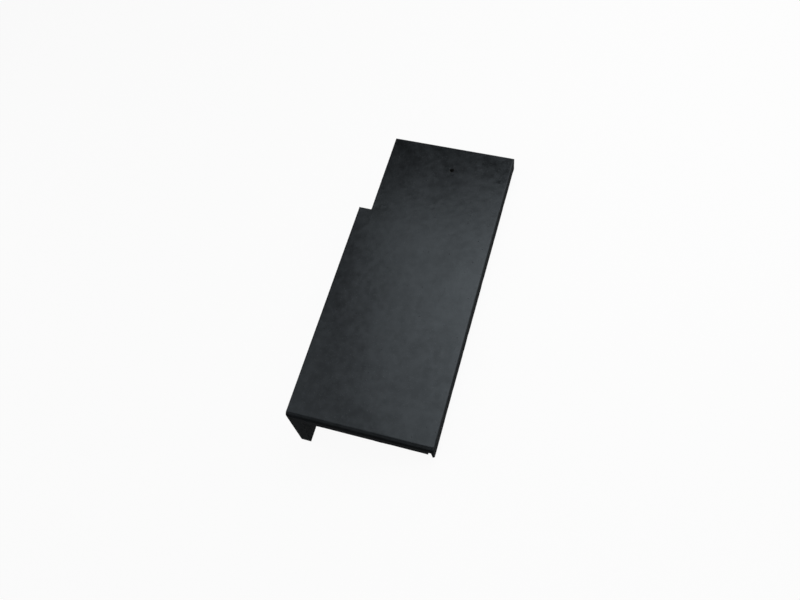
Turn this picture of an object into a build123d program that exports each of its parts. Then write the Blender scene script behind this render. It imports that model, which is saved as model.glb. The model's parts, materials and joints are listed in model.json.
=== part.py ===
"""Left-hand verge tile of a flat interlocking concrete roof, half a tile wide, cast in one piece.

The tile is drawn as it lies on a roof: X to the right, Y up the slope, Z square to the top face, with the
right-hand tail corner of the top face at zero. At the end it is rolled on to a level floor, where it rests
on the foot of its flap and the lip of its side lock. All sizes are in millimetres.
"""

import os
from math import asin, atan2, degrees, hypot

from build123d import *

# Plate
tile_length = 420.0
head_width = 167.5
slab_thickness = 13.5

# Verge flap, which hangs outside the plate from the tail to the shoulder, below the part that is lapped
shoulder_step = 16.8
head_lap = 119.5
flap_depth = 98.5
flap_root = 20.0
flap_foot = 14.5
root_fillet = 8.0

# Tail nose and the weather bar behind it, both across the underside
nose_depth = 17.0
nose_width = 16.0
bar_depth = 16.5
bar_width = 12.0
bar_setback = 52.0
bar_draft = 3.0

# Side lock under the right edge, which covers the water channel of the next tile
cover_thickness = 9.5
lip_depth = 24.0
lip_width = 3.0
groove_width = 4.5
groove_draft = 0.5
rib_width = 8.0
rib_depth = 17.0

# Hanging nibs and nail hole at the head
nib_count = 2
nib_width = 26.0
nib_length = 16.0
nib_height = 18.0
nib_draft = 3.0
nib_from_right = 50.0
nib_from_left = 39.0
nib_from_head = 6.0
nail_diameter = 6.0
nail_from_head = 37.0
nail_from_right = 78.0

# Rounded edges
tail_radius = 6.0
arris_radius = 2.0
foot_radius = 1.5

# Places that several features share
overall_width = head_width + shoulder_step
flap_length = tile_length - head_lap
hanging_length = tile_length - nib_from_head - nib_length
nib_spacing = (head_width - nib_from_right - nib_from_left) / (nib_count - 1)
outer_face = -overall_width
flap_inside_root = outer_face + flap_root
flap_inside_foot = outer_face + flap_foot
groove_inside = -(lip_width + groove_width)
rib_inside = groove_inside - rib_width
lock_inside = rib_inside - groove_width


def lock_outline():
    """Underside of the side lock, from the right edge to the plain slab: lip, groove, rib, groove."""
    return [
        (0, -lip_depth),
        (-lip_width, -lip_depth),
        (-lip_width - groove_draft, -cover_thickness),
        (groove_inside + groove_draft, -cover_thickness),
        (groove_inside, -rib_depth),
        (rib_inside, -rib_depth),
        (rib_inside - groove_draft, -cover_thickness),
        (lock_inside + groove_draft, -cover_thickness),
        (lock_inside, -slab_thickness),
    ]


def along_slope(section, start, length):
    """A section drawn in X and Z, run up the slope from start."""
    return extrude(Plane.XZ.offset(-start) * section, amount=-length)


def across_tile(outline, left, right):
    """An outline drawn in Y and Z, run across the tile from left to right."""
    return extrude(Plane.YZ.offset(left) * make_face(Polyline(*outline, close=True)), amount=right - left)


def flapped_section():
    """The exposed part of the tile: slab, side lock and verge flap."""
    outline = [
        (0, 0),
        *lock_outline(),
        (flap_inside_root, -slab_thickness),
        (flap_inside_foot, -flap_depth),
        (outer_face, -flap_depth),
        (outer_face, 0),
    ]
    section = make_face(Polyline(*outline, close=True))
    root = section.vertices().sort_by_distance((flap_inside_root, -slab_thickness))[0]
    return fillet(root, root_fillet)


def head_section():
    """The part under the next course: slab and side lock alone."""
    outline = [(0, 0), *lock_outline(), (-head_width, -slab_thickness), (-head_width, 0)]
    return make_face(Polyline(*outline, close=True))


def tail_nose():
    """Deep front edge that closes on the tile below. The outer groove of the lock stays open at the tail."""
    outline = [
        (0, -slab_thickness / 2),
        (0, -nose_depth),
        (nose_width, -nose_depth),
        (nose_width + bar_draft, -slab_thickness / 2),
    ]
    return across_tile(outline, flap_inside_foot, groove_inside)


def weather_bar():
    """Drafted bar across the underside that stops wind-driven rain."""
    outline = [
        (bar_setback - bar_draft, -slab_thickness / 2),
        (bar_setback, -bar_depth),
        (bar_setback + bar_width, -bar_depth),
        (bar_setback + bar_width + bar_draft, -slab_thickness / 2),
    ]
    return across_tile(outline, flap_inside_foot, rib_inside)


def hanging_nib(centre):
    """Nib that hooks over the roof batten: square on the batten side, drafted on the others."""
    root = -slab_thickness
    tip = root - nib_height
    left = centre - nib_width / 2
    right = centre + nib_width / 2
    side = [
        (hanging_length, root),
        (hanging_length, tip),
        (hanging_length + nib_length - nib_draft, tip),
        (hanging_length + nib_length, root),
    ]
    front = [(left, root), (left + nib_draft, tip), (right - nib_draft, tip), (right, root)]
    front_face = make_face(Polyline(*front, close=True))
    return across_tile(side, left, right) & along_slope(front_face, hanging_length, nib_length)


def rest_roll():
    """Roll that brings the foot's inner edge and the lip's outer edge down on to one level line."""
    foot_x = flap_inside_foot - foot_radius
    foot_z = -flap_depth + foot_radius
    reach = -foot_x
    rise = -lip_depth - foot_z
    return degrees(atan2(rise, reach) + asin(foot_radius / hypot(reach, rise)))


def rounded_body():
    """Slab, lock and flap with the edges that weather and hands meet rounded."""
    body = along_slope(flapped_section(), 0, flap_length)
    body += along_slope(head_section(), flap_length, tile_length - flap_length)
    top = body.faces().sort_by(Axis.Z)[-1]
    body = fillet(top.edges().sort_by(Axis.Y)[0], tail_radius)
    top = body.faces().filter_by(Axis.Z).sort_by(Axis.Z)[-1]
    body = fillet(top.edges().sort_by(Axis.Y)[1:], arris_radius)
    foot = body.faces().sort_by(Axis.Z)[0]
    return fillet(foot.edges().filter_by(Axis.Y), foot_radius)


def verge_tile():
    """The whole tile in its roof position."""
    tile = rounded_body()
    tile += tail_nose()
    tile += weather_bar()
    for place in range(nib_count):
        tile += hanging_nib(-nib_from_right - place * nib_spacing)
    nail_place = (-nail_from_right, tile_length - nail_from_head, -slab_thickness / 2)
    return tile - Pos(*nail_place) * Cylinder(nail_diameter / 2, 2 * slab_thickness)


def on_floor(tile):
    """The tile rolled to its rest, with the floor at zero and the middle of its footprint at the origin."""
    rolled = Rot(0, rest_roll(), 0) * tile
    box = rolled.bounding_box()
    middle = box.center()
    return Pos(-middle.X, -middle.Y, -box.min.Z) * rolled


os.makedirs("parts", exist_ok=True)
resting = on_floor(verge_tile())
resting.label = "verge_tile"
export_step(resting, "parts/verge_tile.step")
print("roll", round(rest_roll(), 3), "volume", round(resting.volume), "box", resting.bounding_box())
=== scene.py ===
# %% [markdown]
# # A verge tile, dressed in Blender
#
# The object is a left-hand verge tile: the narrow concrete roof tile at the edge of a roof, with a flap that
# hangs down over the side of the building. The solid model already has its section, lock, nibs and nail hole.
# This lesson adds what a cast and colour-coated surface has on top of that: a fine relief, softened edges,
# and a finish that is dark, satin on the weather side and dull below.

# %% Load the solid model
import json
import math

import bmesh
import bpy
import numpy as np
from mathutils import Matrix, Quaternion, Vector, noise


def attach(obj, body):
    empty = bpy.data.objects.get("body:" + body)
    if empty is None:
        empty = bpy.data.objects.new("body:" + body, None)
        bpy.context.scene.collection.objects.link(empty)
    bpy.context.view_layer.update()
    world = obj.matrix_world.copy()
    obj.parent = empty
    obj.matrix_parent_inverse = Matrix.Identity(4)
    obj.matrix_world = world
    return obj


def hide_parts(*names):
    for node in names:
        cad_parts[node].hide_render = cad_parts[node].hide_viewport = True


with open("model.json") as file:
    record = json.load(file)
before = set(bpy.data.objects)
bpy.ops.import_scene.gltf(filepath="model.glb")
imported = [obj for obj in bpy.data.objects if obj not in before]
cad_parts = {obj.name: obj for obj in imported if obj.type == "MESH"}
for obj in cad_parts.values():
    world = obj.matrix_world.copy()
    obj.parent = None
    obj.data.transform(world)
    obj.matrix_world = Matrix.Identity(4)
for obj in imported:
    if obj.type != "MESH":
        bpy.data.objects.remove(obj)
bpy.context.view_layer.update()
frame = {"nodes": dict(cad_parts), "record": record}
cast_node = frame["nodes"]["verge_tile"]
print("solid model:", len(cast_node.data.polygons), "triangles in", sorted(frame["nodes"]))

# %% [markdown]
# ## The tile's own axes
#
# The tile is stored as it rests on a floor, rolled on to the foot of its flap, so none of its faces is level.
# Relief, lamps and camera are easier to think about in roof axes: X across the tile to the right, Y up the
# slope and Z square to the top face, from the right-hand corner of the tail. The nail hole goes straight
# through the slab, so its axis in the record gives Z, and its place gives the corner.

# %% Roof axes from the nail hole
NAIL_FROM_RIGHT = 0.078
NAIL_FROM_TAIL = 0.383
SLAB = 0.0135

nail = next(m for m in frame["record"]["mounts"] if m["name"] == "nail_hole")
square = Vector(nail["axis"]).normalized()
up_slope = Vector((0, 1, 0))
across = up_slope.cross(square)
tail_corner = Vector(nail["pos_m"]) + NAIL_FROM_RIGHT * across - NAIL_FROM_TAIL * up_slope
tail_corner += SLAB / 2 * square
roof = Matrix((across, up_slope, square)).transposed().to_4x4()
roof.translation = tail_corner
print("roll on the floor: %.1f degrees" % math.degrees(math.acos(square.z)))

# %% [markdown]
# ## A mesh fine enough for relief
#
# The solid arrives as few large triangles, and a flat triangle can't carry a grain. One way is a voxel
# remesh, but it melts the narrow grooves of the lock. Here the mesh is sliced by planes across the tile's own
# axes instead, so every edge of the casting stays where it was and the flat faces get an even grid. Slicing
# along the length comes first, while the mesh is still small. Points that end up closer together than a
# sliver are welded. Then they are read into arrays, where arithmetic on all of them at once is quick.

# %% Slice the casting into a grid
GRID = 0.0021
SLICE_ORDER = (1, 0, 2)
SAME_POINT = 1e-6
ON_PLANE = 1e-7
SLIVER = 2e-5


def sliced_casting(source, pitch):
    """A welded copy of the solid in roof axes, cut by planes a pitch apart along all three axes."""
    casting = bmesh.new()
    casting.from_mesh(source)
    bmesh.ops.transform(casting, matrix=roof.inverted(), verts=casting.verts)
    bmesh.ops.remove_doubles(casting, verts=casting.verts, dist=SAME_POINT)
    for axis in SLICE_ORDER:
        places = [v.co[axis] for v in casting.verts]
        normal = Vector((0, 0, 0))
        normal[axis] = 1
        steps = math.floor((max(places) - min(places)) / pitch)
        for step in range(1, steps + 1):
            geometry = casting.verts[:] + casting.edges[:] + casting.faces[:]
            level = normal * (min(places) + step * pitch)
            bmesh.ops.bisect_plane(casting, geom=geometry, dist=ON_PLANE, plane_co=level, plane_no=normal)
    bmesh.ops.remove_doubles(casting, verts=casting.verts, dist=SLIVER)
    bmesh.ops.triangulate(casting, faces=casting.faces[:])
    return casting


casting = sliced_casting(cast_node.data, GRID)
loose = [e for e in casting.edges if len(e.link_faces) != 2]
print("sliced casting:", len(casting.faces), "triangles,", len(loose), "open edges")

# %% Points of the casting, as arrays
casting.normal_update()
casting.verts.ensure_lookup_table()
points = np.array([v.co for v in casting.verts])
normals = np.array([v.normal for v in casting.verts])
low, high = points.min(0), points.max(0)
print("in roof axes: %.1f x %.1f x %.1f mm" % tuple(1000 * (high - low)))

# %% [markdown]
# ## Where the coat lies
#
# The colour coat is sprayed on from above. It covers the top, the ends and the outside of the flap, and it
# wraps a little round the tail. The rest of the underside stays bare concrete. A paint mask could be drawn by
# hand, but here the share of coat is worked out for each point from its place and from the way it faces. It
# is kept with the mesh, so that relief and finish agree.

# %% Mark the coat
COAT_REACH = 0.0025
TAIL_REACH, TAIL_WHOLE = 0.024, 0.012
FLAP_FOOT = 0.0145
SQUARE_ON = 0.7
HEAD_FROM = 0.7
UNDER_BARE, UNDER_COATED = -0.8, -0.3


def soft_step(values, start, end):
    """0 at start, 1 at end, smooth between. It runs downwards when end is the lower one."""
    share = np.clip((values - start) / (end - start), 0, 1)
    return share * share * (3 - 2 * share)


from_skin = np.min([*(points - low)[:, :2].T, *(high - points).T], axis=0)
from_tail = points[:, 1] - low[1]
coat = np.maximum(soft_step(from_skin, COAT_REACH, 0), soft_step(from_tail, TAIL_REACH, TAIL_WHOLE))

on_flap_or_slab = (points[:, 0] < low[0] + FLAP_FOOT) | (points[:, 2] > -SLAB - COAT_REACH)
upper_ends = (normals[:, 1] > SQUARE_ON) & on_flap_or_slab
at_head = (points[:, 1] > HEAD_FROM * high[1]) & (points[:, 2] > -SLAB)
beside_head = (normals[:, 0] < -SQUARE_ON) & at_head
coat[upper_ends | beside_head] = 1
coat *= soft_step(normals[:, 2], UNDER_BARE, UNDER_COATED)
print("coated share of the points: %.2f" % coat.mean())

# %% [markdown]
# ## Where the coat is satin
#
# Where the spray lands square, on the top and on the flap, it dries to a satin film. The ends only catch the
# edge of the spray and stay dull, so on the rounding of the tail the film fades out. The flap is sprayed from
# the side and is a little duller than the top.

# %% Mark the satin film
TOP_FROM, TOP_FULL = 0.35, 0.90
TAIL_FROM, TAIL_FULL = 0.85, 0.24
FLAP_FROM, FLAP_FULL = 0.60, 0.95
FLAP_SATIN = 0.75

top_side = soft_step(normals[:, 2], TOP_FROM, TOP_FULL) * soft_step(-normals[:, 1], TAIL_FROM, TAIL_FULL)
on_flap = points[:, 0] < low[0] + COAT_REACH
flap_side = FLAP_SATIN * soft_step(-normals[:, 0], FLAP_FROM, FLAP_FULL) * on_flap
satin = coat * np.maximum(top_side, flap_side)
print("satin share of the points: %.2f" % satin.mean())

# %% [markdown]
# ## Where the arrises are
#
# A cast arris is never as sharp as a drawn one: it loses a little all along and more in places. An edge
# counts as an arris when it is convex and its two faces turn clearly. A bevel would take the same off
# everywhere, so the points are marked instead. The mark is spread to the next points, so that the loss fades
# into the faces.

# %% Mark the arrises
SHARP_TURN = math.radians(35)
ARRIS_KEPT = 0.75

ends = np.array([[v.index for v in e.verts] for e in casting.edges])
turned = [e.is_convex and e.calc_face_angle(0) > SHARP_TURN for e in casting.edges]
on_arris = np.zeros(len(points))
on_arris[ends[turned].ravel()] = 1

total = on_arris.copy()
count = np.ones(len(points))
for near, far in ((0, 1), (1, 0)):
    np.add.at(total, ends[:, near], on_arris[ends[:, far]])
    np.add.at(count, ends[:, near], 1)
arris = np.maximum(ARRIS_KEPT * on_arris, total / count)
print("points on an arris: %d of %d" % (on_arris.sum(), len(points)))

# %% [markdown]
# ## The rim of the nail hole
#
# The hole is made by a pin in the mould and has a clean rim. Its points lose their arris mark, and those on
# the two faces are set to sink straight down, together with the face around them.

# %% Keep the rim clean
RIM_REACH = 0.005
RIM_FACING = 0.3

from_hole = np.hypot(points[:, 0] + NAIL_FROM_RIGHT, points[:, 1] - NAIL_FROM_TAIL)
rim = (from_hole < RIM_REACH) & (abs(normals[:, 2]) > RIM_FACING)
arris[from_hole < RIM_REACH] = 0
normals[rim] = np.sign(normals[rim, 2:]) * (0, 0, 1)
print("points on the rim:", rim.sum())

# %% [markdown]
# ## Relief of the casting
#
# Concrete pressed in a mould has a slow waviness, a grain left by the sand, a few shallow pits where air was
# caught, and small losses along its arrises. These are real shapes, so they go into the mesh. Every point
# only moves inwards, because the solid model gives the tile's full size. Each kind of relief reads the noise
# at a shift of its own, so that no two of them lie on top of each other. Finer grain is left to the material.

# %% Depth of the relief
WAVE_SIZE, WAVE_SHIFT, WAVE_DEPTH = 0.070, 3.1, 0.00020
GRAIN_SIZE, GRAIN_SHIFT, GRAIN_DEPTH = 0.0060, 7.7, 0.00010
BARE_GRAIN_DEPTH = 0.00012
PIT_SIZE, PIT_SHIFT, PIT_DEPTH = 0.0085, 5.9, 0.00020
PIT_FROM = 0.50
CHIP_SIZE, CHIP_SHIFT, CHIP_DEPTH = 0.011, 11.3, 0.0010
CHIP_FROM = 0.30
ARRIS_DEPTH = 0.00016


def noise_at(size, shift):
    """Perlin noise at every point, from -1 to 1, with features of about that size."""
    offset = Vector((shift, 2 * shift, -shift))
    return np.array([noise.noise(Vector(p) / size + offset) for p in points])


def as_share(values):
    """What goes from -1 to 1, brought to 0 to 1."""
    return 0.5 + 0.5 * values


def peaks(values, start):
    """Only what rises above start, as 0 to 1."""
    return np.clip(values - start, 0, None) / (1 - start)


wave = WAVE_DEPTH * as_share(noise_at(WAVE_SIZE, WAVE_SHIFT))
coarser = BARE_GRAIN_DEPTH * (1 - coat)
grain = (GRAIN_DEPTH + coarser) * as_share(noise_at(GRAIN_SIZE, GRAIN_SHIFT))
pits = PIT_DEPTH * peaks(noise_at(PIT_SIZE, PIT_SHIFT), PIT_FROM)
chips = CHIP_DEPTH * peaks(noise_at(CHIP_SIZE, CHIP_SHIFT), CHIP_FROM)
depth = wave + grain + pits + arris * (ARRIS_DEPTH + chips)
print("relief as drawn: %.2f mm at most" % (1000 * depth.max()))

# %% [markdown]
# ## Relief that doesn't fold
#
# Close to an arris some points lie nearer together than the relief is deep, and a face between them could tip
# over and fold the mesh. So the relief is tried out, and wherever a face turns too far from where it was, the
# relief of its three points is halved, a few times over. Only then are the points moved.

# %% Ease the relief and press it in
KEPT_FACING = 0.7
EASE_TURNS = 8
TINY = 1e-20

corners = np.array([[v.index for v in f.verts] for f in casting.faces])


def facings(places):
    """The unit normal of every triangle, with the points at these places."""
    first, second, third = (places[corners[:, k]] for k in range(3))
    normal = np.cross(second - first, third - first)
    return normal / np.maximum(np.linalg.norm(normal, axis=1, keepdims=True), TINY)


drawn = facings(points)
for _ in range(EASE_TURNS):
    tipped = (facings(points - normals * depth[:, None]) * drawn).sum(1) < KEPT_FACING
    depth[corners[tipped].ravel()] *= 0.5
print("faces eased in the last turn:", tipped.sum())

for vert, pressed in zip(casting.verts, points - normals * depth[:, None]):
    vert.co = pressed
bmesh.ops.transform(casting, matrix=roof, verts=casting.verts)
print("relief: %.2f mm at most, %.2f mm on average" % (1000 * depth.max(), 1000 * depth.mean()))

# %% [markdown]
# ## The tile itself
#
# The pressed mesh becomes the one visible piece and stands for the node of the solid model. The shares of
# coat, satin and arris go with it as attributes, where the material can read them. Shading is smooth over the
# relief and sharp at the edges of the casting.

# %% Make the tile from the pressed mesh
SMOOTH_BELOW = math.radians(42)

tile_mesh = bpy.data.meshes.new("concrete_tile")
casting.to_mesh(tile_mesh)
casting.free()
for name, values in (("coat", coat), ("satin", satin), ("arris", arris)):
    layer = tile_mesh.attributes.new(name, "FLOAT", "POINT")
    layer.data.foreach_set("value", values.astype(np.float32))
tile_mesh.shade_smooth()
tile_mesh.set_sharp_from_angle(angle=SMOOTH_BELOW)
tile = bpy.data.objects.new("concrete_tile", tile_mesh)
bpy.context.scene.collection.objects.link(tile)
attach(tile, "root")
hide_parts("verge_tile")
print("concrete_tile:", len(tile_mesh.polygons), "triangles")

# %% [markdown]
# ## Writing a finish
#
# A finish is a network of nodes, and networks are hard to read as lists of links. Two small classes make them
# read like arithmetic. A signal is one value on its way through the network, and plus, minus and times on it
# add the Math nodes. Every other node comes from one method: its type, its settings, then its inputs.

# %% Signals and networks


class Signal:
    """One value in a network. Arithmetic on it adds Math nodes."""

    def __init__(self, network, socket):
        self.network = network
        self.socket = socket

    def maths(self, operation, first, second):
        return self.network.node("ShaderNodeMath", {"operation": operation}, {0: first, 1: second})

    def __add__(self, other):
        return self.maths("ADD", self, other)

    def __sub__(self, other):
        return self.maths("SUBTRACT", self, other)

    def __rsub__(self, other):
        return self.maths("SUBTRACT", other, self)

    def __mul__(self, other):
        return self.maths("MULTIPLY", self, other)

    __radd__ = __add__
    __rmul__ = __mul__


class Network:
    """The nodes of one material, or of the world."""

    def __init__(self, owner):
        owner.use_nodes = True
        self.owner = owner
        self.tree = owner.node_tree
        self.tree.nodes.clear()

    def node(self, kind, settings=None, inputs=None, outputs=(0,)):
        """Adds a node of this kind and returns its outputs as signals."""
        made = self.tree.nodes.new(kind)
        for name, value in (settings or {}).items():
            setattr(made, name, value)
        for name, value in (inputs or {}).items():
            if isinstance(value, Signal):
                self.tree.links.new(value.socket, made.inputs[name])
            else:
                made.inputs[name].default_value = value
        signals = [Signal(self, made.outputs[name]) for name in outputs]
        return signals[0] if len(signals) == 1 else signals

    def output(self, kind, surface):
        """Ends the network in this surface."""
        self.node(kind, inputs={"Surface": surface}, outputs=())

    def ramp(self, value, start, end):
        """0 at start, 1 at end, smooth between."""
        inputs = {"Value": value, "From Min": start, "From Max": end}
        return self.node("ShaderNodeMapRange", {"interpolation_type": "SMOOTHSTEP"}, inputs)

    def mix(self, share, first, second):
        """The first colour, going over to the second as share goes to 1. Inputs 6 and 7 take colours."""
        inputs = {0: share, 6: first, 7: second}
        return self.node("ShaderNodeMix", {"data_type": "RGBA"}, inputs, outputs=(2,))


concrete = Network(bpy.data.materials.new("coated_concrete"))
print("network of", concrete.owner.name, "ready,", len(concrete.tree.nodes), "nodes yet")

# %% [markdown]
# ## Clouds and patches
#
# The coat is thin, so the concrete shows through it in cloudy patches a few centimetres wide, broken up by a
# mottle the size of a fingertip. Both come from noise in the tile's own space, which needs no unwrapping and
# runs on round the edges.

# %% Clouds, mottle and patches
CLOUD_SIZE, CLOUD_DETAIL = 0.045, 3
MOTTLE_SIZE, MOTTLE_DETAIL = 0.0100, 4
FINE_SIZE, FINE_DETAIL = 0.0011, 3
DETAIL_ROUGHNESS = 0.6
CLOUD_SHARE, MOTTLE_SHARE = 0.45, 0.55
PATCH_FROM, PATCH_FULL = 0.32, 0.68

place = concrete.node("ShaderNodeTexCoord", outputs=("Object",))


def cloudy(size, detail):
    """Soft noise over the concrete, about 0.5 on average."""
    inputs = {"Vector": place, "Scale": 1 / size, "Detail": detail, "Roughness": DETAIL_ROUGHNESS}
    return concrete.node("ShaderNodeTexNoise", {"noise_dimensions": "3D"}, inputs)


mottle = cloudy(MOTTLE_SIZE, MOTTLE_DETAIL)
fine = cloudy(FINE_SIZE, FINE_DETAIL)
clouds = cloudy(CLOUD_SIZE, CLOUD_DETAIL)
patches = concrete.ramp(CLOUD_SHARE * clouds + MOTTLE_SHARE * mottle, PATCH_FROM, PATCH_FULL)
print("with clouds and patches:", len(concrete.tree.nodes), "nodes")

# %% [markdown]
# ## Sand and pores
#
# Close up, the coat has sand grains that catch a little light, and tiny air pores. They could be scattered as
# pieces, but they are smaller than the grid of the mesh. Here they come from cells with a random tone each,
# of which only some are picked, so they lie scattered.

# %% Sand and pores
SAND_CELL, SAND_RADIUS, SAND_PICKED = 0.0019, 0.36, 0.22
PORE_CELL, PORE_RADIUS, PORE_PICKED = 0.0060, 0.13, 0.25
SPOT_CORE = 0.4
PICK_FADE = 0.05


def scattered(cell, radius, picked):
    """Round spots in some of the cells, 1 in their middle. Radius is in cells, picked is the share kept."""
    inputs = {"Vector": place, "Scale": 1 / cell, "Randomness": 1.0}
    reach, tone = concrete.node("ShaderNodeTexVoronoi", {"feature": "F1"}, inputs, ("Distance", "Color"))
    chance = concrete.node("ShaderNodeSeparateColor", inputs={0: tone})
    spot = concrete.ramp(reach, radius, SPOT_CORE * radius)
    return spot * concrete.ramp(chance, 1 - picked, 1 - picked + PICK_FADE)


sand = scattered(SAND_CELL, SAND_RADIUS, SAND_PICKED)
pores = scattered(PORE_CELL, PORE_RADIUS, PORE_PICKED)
print("with sand and pores:", len(concrete.tree.nodes), "nodes")

# %% [markdown]
# ## Colour of coat and concrete
#
# The coat is nearly black and slightly cool, a little paler in the patches, with a hint of grey sand and of
# wear along the arrises. The bare concrete below is paler and neutral. The pores get a painted shade in both,
# which stands for the shade inside them. The share of coat that is kept with the mesh decides between the
# two.

# %% Colours of the coat and of the bare concrete
COAT_DEEP = (0.0066, 0.0076, 0.0084, 1)
COAT_CLOUD = (0.0112, 0.0127, 0.0142, 1)
SAND_GREY = (0.030, 0.032, 0.034, 1)
# The pore colour is painted shade: it is near black and stands for the shade inside each tiny pore.
PORE_PAINTED_SHADE = (0.0024, 0.0025, 0.0027, 1)
RUBBED = (0.021, 0.022, 0.023, 1)
BARE_DEEP = (0.040, 0.041, 0.042, 1)
BARE_PALE = (0.075, 0.076, 0.077, 1)
SAND_SHOWS, PORE_SHADE_SHOWS, RUB_SHOWS = 0.35, 0.8, 0.5
RUB_FROM, RUB_FULL = 0.47, 0.64
BARE_PATCHES, BARE_FINE = 0.5, 0.5

coated, satin_share, edge_line = [
    concrete.node("ShaderNodeAttribute", {"attribute_name": name}, outputs=("Fac",))
    for name in ("coat", "satin", "arris")]
rub = RUB_SHOWS * edge_line * concrete.ramp(mottle, RUB_FROM, RUB_FULL)
coat_colour = concrete.mix(patches, COAT_DEEP, COAT_CLOUD)
coat_colour = concrete.mix(SAND_SHOWS * sand, coat_colour, SAND_GREY)
coat_colour = concrete.mix(rub, coat_colour, RUBBED)
bare_colour = concrete.mix(BARE_PATCHES * patches + BARE_FINE * fine, BARE_DEEP, BARE_PALE)
colour = concrete.mix(coated, bare_colour, coat_colour)
# Painted shade: the pores are darkened towards near black, in place of the shade inside them.
colour = concrete.mix(PORE_SHADE_SHOWS * pores, colour, PORE_PAINTED_SHADE)
print("with colours:", len(concrete.tree.nodes), "nodes")

# %% [markdown]
# ## Grain too fine for the mesh
#
# Sand, pores and the finest grain are smaller than the grid, so they are a bump. It is weak: on a satin film
# a strong one glitters.

# %% Bump of the fine grain
GRAIN_HEIGHT = 0.0004
BUMP_STRENGTH = 0.25
FINE_RISE, SAND_RISE, MOTTLE_RISE, PORE_DIP = 0.45, 0.40, 0.35, 1.2

height = FINE_RISE * fine + SAND_RISE * sand + MOTTLE_RISE * mottle - PORE_DIP * pores
grain_normal = concrete.node("ShaderNodeBump", inputs={
    "Strength": BUMP_STRENGTH, "Distance": GRAIN_HEIGHT, "Height": height})
print("with bump:", len(concrete.tree.nodes), "nodes")

# %% [markdown]
# ## A satin and a dull skin
#
# Two skins share the tile. The satin skin is the dried film on the weather side, with a soft, cool sheen that
# patches and wear roughen. The dull skin is everything else: the thin coat on the ends and the bare concrete
# below. The film isn't equally thick. Between the patches it is thinner and loses part of its sheen to the
# dull skin, which gives the sheen the same mottle as the colour. The sheen itself comes from the roughness of
# the film and from the lamps, and no light is painted on.

# %% The two skins
SHEEN_TINT = (0.81, 0.918, 1.0, 1)
SATIN_SHINE = 0.385
FILM_ROUGHNESS = 0.153
PATCH_ROUGHENS, FINE_ROUGHENS, RUB_ROUGHENS = 0.08, 0.06, 0.20
FILM_LOSS = 0.28
DULL_SHINE = 0.02
DULL_ROUGHNESS = 0.85

film = FILM_ROUGHNESS + PATCH_ROUGHENS * patches + FINE_ROUGHENS * fine + RUB_ROUGHENS * rub
satin_skin = concrete.node("ShaderNodeBsdfPrincipled", inputs={
    "Base Color": colour, "Roughness": film, "Normal": grain_normal,
    "Specular IOR Level": SATIN_SHINE, "Specular Tint": SHEEN_TINT})
dull_skin = concrete.node("ShaderNodeBsdfPrincipled", inputs={
    "Base Color": colour, "Roughness": DULL_ROUGHNESS, "Normal": grain_normal,
    "Specular IOR Level": DULL_SHINE})
film_share = satin_share * (1 - FILM_LOSS * (1 - patches))
skins = concrete.node("ShaderNodeMixShader", inputs={0: film_share, 1: dull_skin, 2: satin_skin})
concrete.output("ShaderNodeOutputMaterial", skins)
tile_mesh.materials.append(concrete.owner)
print("coated_concrete:", len(concrete.tree.nodes), "nodes")

# %% [markdown]
# ## A floor that is white and keeps the shadow
#
# The background of a catalogue picture is white, and more light would only bleach the tile. So the floor
# helps itself: to the camera, and to mirror and glass rays, it is mostly a white glow and a little matt
# floor, which keeps the soft shadow. To all other rays it is only a pale matt floor.

# %% Material of the floor
FLOOR_PALE = (0.80, 0.80, 0.80, 1)
WHITE = (1, 1, 1, 1)
WHITE_STRENGTH = 1.0
FLOOR_GLOW = 0.94

pale_floor = Network(bpy.data.materials.new("pale_floor"))
rays = ("Is Camera Ray", "Is Glossy Ray", "Is Transmission Ray")
seen = sum(pale_floor.node("ShaderNodeLightPath", outputs=rays))
matt = pale_floor.node("ShaderNodeBsdfDiffuse", inputs={"Color": FLOOR_PALE})
glow = pale_floor.node("ShaderNodeEmission", inputs={"Color": WHITE, "Strength": WHITE_STRENGTH})
pale_floor.output("ShaderNodeOutputMaterial", pale_floor.node(
    "ShaderNodeMixShader", inputs={0: FLOOR_GLOW * seen, 1: matt, 2: glow}))
print("pale_floor:", len(pale_floor.tree.nodes), "nodes")

# %% [markdown]
# ## Studio cove
#
# A flat floor ends in a horizon. A photographer's cove has none, because the floor curves up into a wall.
# Here it is a round dish, made by turning a profile of floor, curve and wall about the upright axis, so that
# it looks the same from every side.

# %% Turn the cove
DISH_RADIUS = 6.0
CURVE_RADIUS = 2.0
WALL_TOP = 5.0
AROUND, UP_CURVE = 64, 8
SEAM = 1e-4

profile = [(0, 0)]
for step in range(UP_CURVE + 1):
    angle = math.pi / 2 * step / UP_CURVE
    profile.append((DISH_RADIUS + CURVE_RADIUS * math.sin(angle), CURVE_RADIUS * (1 - math.cos(angle))))
profile.append((DISH_RADIUS + CURVE_RADIUS, WALL_TOP))
dish = bmesh.new()
line = [dish.verts.new((radius, 0, level)) for radius, level in profile]
line += [dish.edges.new(pair) for pair in zip(line, line[1:])]
bmesh.ops.spin(dish, geom=line, axis=(0, 0, 1), cent=(0, 0, 0), angle=math.tau, steps=AROUND)
bmesh.ops.remove_doubles(dish, verts=dish.verts, dist=SEAM)
bmesh.ops.recalc_face_normals(dish, faces=dish.faces)

floor_mesh = bpy.data.meshes.new("studio_floor")
dish.to_mesh(floor_mesh)
dish.free()
floor_mesh.shade_smooth()
floor_mesh.materials.append(pale_floor.owner)
floor = bpy.data.objects.new("studio_floor", floor_mesh)
bpy.context.scene.collection.objects.link(floor)
print("studio_floor: %d faces, %.0f m across" % (len(floor_mesh.polygons), 2 * DISH_RADIUS))

# %% [markdown]
# ## Even light from the world
#
# The world adds a low light from all sides, so that no corner of the tile goes quite black. It is one plain
# tone, because a pattern in it would be mirrored by the satin film.

# %% World
WORLD_LEVEL = 0.08

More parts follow.
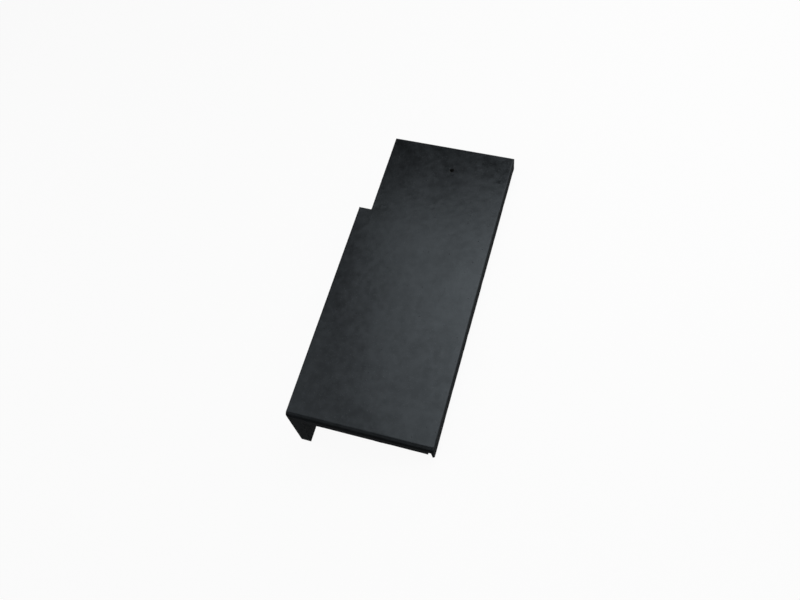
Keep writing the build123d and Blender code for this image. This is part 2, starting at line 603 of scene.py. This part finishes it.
sky = Network(bpy.data.worlds.new("studio"))
sky.output("ShaderNodeOutputWorld", sky.node(
    "ShaderNodeBackground", inputs={"Color": WHITE, "Strength": WORLD_LEVEL}))
bpy.context.scene.world = sky.owner
print("world level:", WORLD_LEVEL)

# %% [markdown]
# ## Soft boxes
#
# A lamp close to the tile would show as a hard spot, so all of them are wide boxes. One hangs above the head,
# to the right. The satin coat mirrors it towards the camera in the right-hand half of the plate, and the
# sheen dies away to the left and towards the head. The box is turned a little in its own plane, which lays
# the edge of the sheen along the tile. The cloth of a soft box is brightest in its middle, so a smaller lamp
# is added there. A wide, weak box hangs high over the flap side and lifts the left half. Weak, wide lamps by
# the tail, behind the head and beside the flap keep the ends and the flap readable.

# %% Soft boxes
PLATE_MIDDLE = roof @ Vector((-0.085, 0.21, 0))
HEAD_BOX_TURN = math.radians(-13.3)


def soft_box(name, stand, width, length, radiance, turn=0.0):
    """A rectangular lamp facing the plate, turned in its own plane. Radiance is how bright its face is."""
    data = bpy.data.lights.new(name, "AREA")
    data.shape = "RECTANGLE"
    data.size = width
    data.size_y = length
    data.energy = radiance * math.pi * width * length
    lamp = bpy.data.objects.new(name, data)
    lamp.location = stand
    facing = (PLATE_MIDDLE - stand).to_track_quat("-Z", "Y") @ Quaternion((0, 0, 1), turn)
    lamp.rotation_euler = facing.to_euler()
    lamp.visible_camera = False
    bpy.context.scene.collection.objects.link(lamp)
    print("%s: %.1f W" % (name, data.energy))


head_stand = roof @ Vector((0.067, 0.501, 0.817))
middle_stand = roof @ Vector((0.012, 0.538, 0.800))
ceiling_stand = roof @ Vector((-0.900, 0.150, 1.50))
tail_stand = Vector((0.5, -1.3, 0.9))
back_stand = Vector((0.1, 1.6, 0.5))
flap_stand = Vector((-1.4, -0.2, 0.8))
soft_box("head_box", head_stand, width=0.78, length=0.83, radiance=2.10, turn=HEAD_BOX_TURN)
soft_box("head_box_middle", middle_stand, width=0.42, length=0.29, radiance=0.93)
soft_box("ceiling_box", ceiling_stand, width=1.14, length=1.14, radiance=0.90)
soft_box("tail_fill", tail_stand, width=1.3, length=1.3, radiance=0.5)
soft_box("back_fill", back_stand, width=1.3, length=0.9, radiance=1.0)
soft_box("flap_fill", flap_stand, width=1.3, length=1.3, radiance=0.8)

# %% [markdown]
# ## Camera
#
# The picture was taken from above the tail, a little to the right, with a moderately wide lens. Standing
# point and aim are given in roof axes, and the roll of the tile carries them along. They were fitted so that
# the corners of the tile fall where the picture has them.

# %% Camera
STAND = Vector((0.12655, -0.24772, 0.93298))
AIM = Vector((-0.09179, 0.17852, 0.0))
HEAD_UP = Vector((-0.20709, 0.87063, 0.44623))
LENS = 37.603
SENSOR_WIDTH = 36.0

view = (AIM - STAND).normalized()
right = view.cross(HEAD_UP).normalized()
turn = Matrix((right, right.cross(view), -view)).transposed()
camera_data = bpy.data.cameras.new("camera")
camera_data.sensor_width = SENSOR_WIDTH
camera_data.lens = LENS
camera = bpy.data.objects.new("camera", camera_data)
camera.matrix_world = roof @ Matrix.LocRotScale(STAND, turn.to_quaternion(), None)
bpy.context.scene.collection.objects.link(camera)
bpy.context.scene.camera = camera
bpy.context.scene.view_settings.view_transform = "Standard"
print("camera %.2f m above the floor, lens %.1f mm" % (camera.matrix_world.translation.z, LENS))
